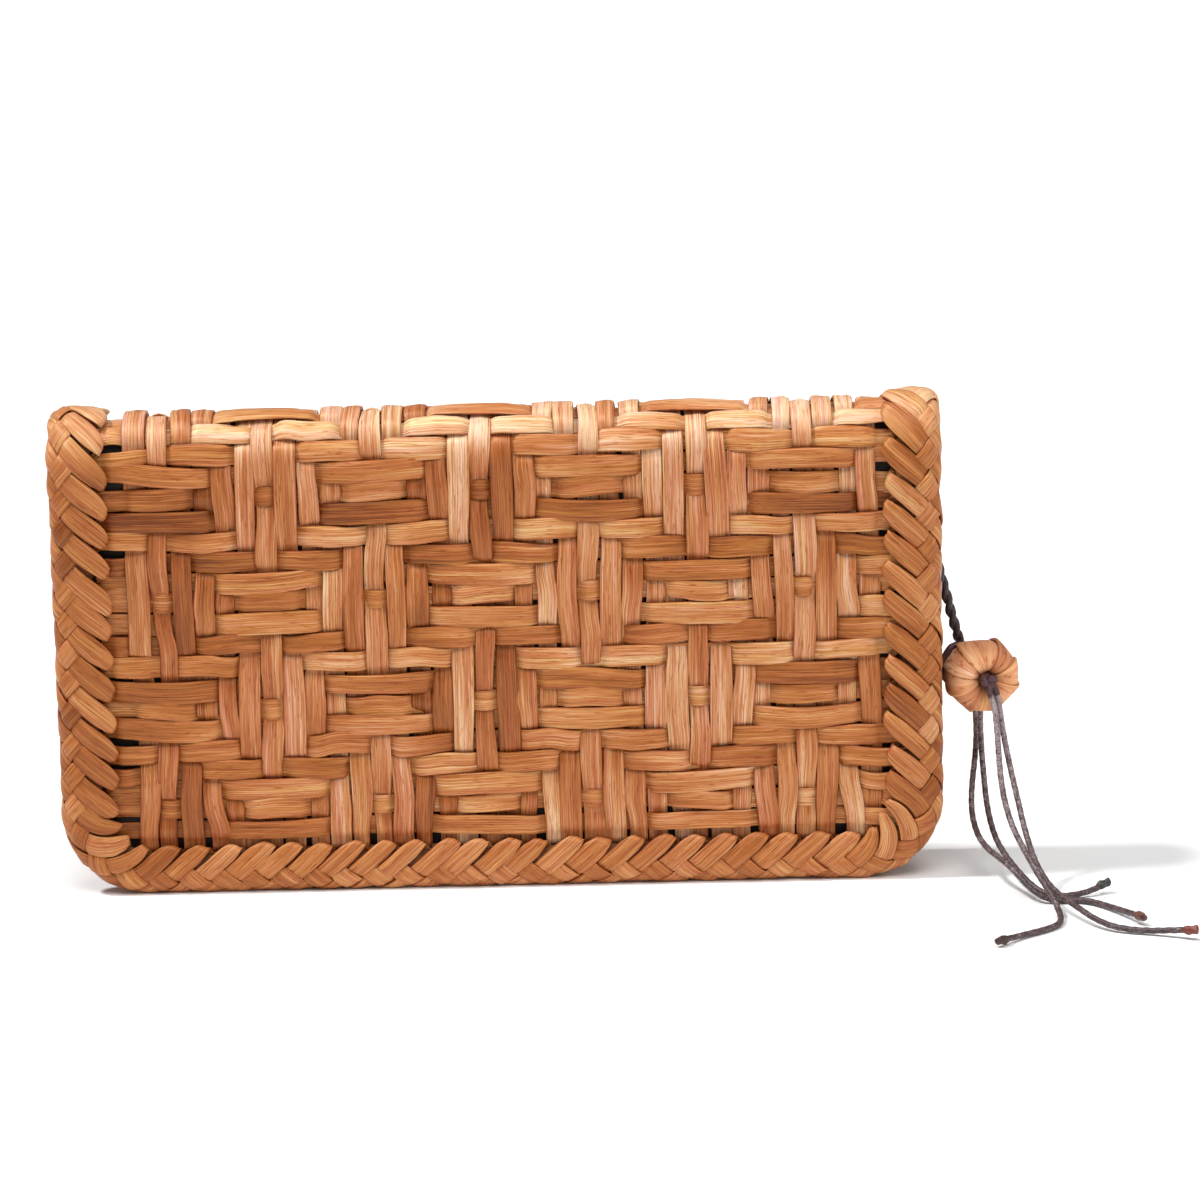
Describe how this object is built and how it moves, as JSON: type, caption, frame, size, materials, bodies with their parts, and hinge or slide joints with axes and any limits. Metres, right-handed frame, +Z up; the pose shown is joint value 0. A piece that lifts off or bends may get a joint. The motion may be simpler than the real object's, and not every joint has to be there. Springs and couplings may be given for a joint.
{
  "type": "woven vine wallet",
  "caption": "Long wallet cover woven from vine-bark strips in a diamond twill, folded at the top and bound by a plaited rim, with a wrapped bead and knotted cord tails on a pull at its side",
  "frame": {"origin": "centre of the wallet's footprint on the surface it stands on, midway between its front and its back", "axes": "+X along the wallet's length towards the side with the bead, +Y from its front to its back, +Z up towards the fold"},
  "size_m": [0.2385, 0.0756, 0.1058],
  "materials": {
    "bark_strip": "satin",
    "bark_plait": "satin",
    "lining_cloth": "matte",
    "bead_bark": "satin",
    "pull_cord": "matte",
    "tail_cord": "satin",
    "tail_tip": "satin"
  },
  "bodies": {
    "root": {"woven_cover": "bark_strip", "lining": "lining_cloth", "plaited_rim": "bark_plait", "cord_anchor": "pull_cord", "pull_cord": "pull_cord", "bead": "bead_bark", "bead_knot": "pull_cord", "tail_1": "tail_cord", "tail_2": "tail_cord", "tail_3": "tail_cord", "tail_4": "tail_cord", "tail_tip_1": "tail_tip", "tail_tip_2": "tail_tip", "tail_tip_3": "tail_tip", "tail_tip_4": "tail_tip"}
  },
  "joints": []
}
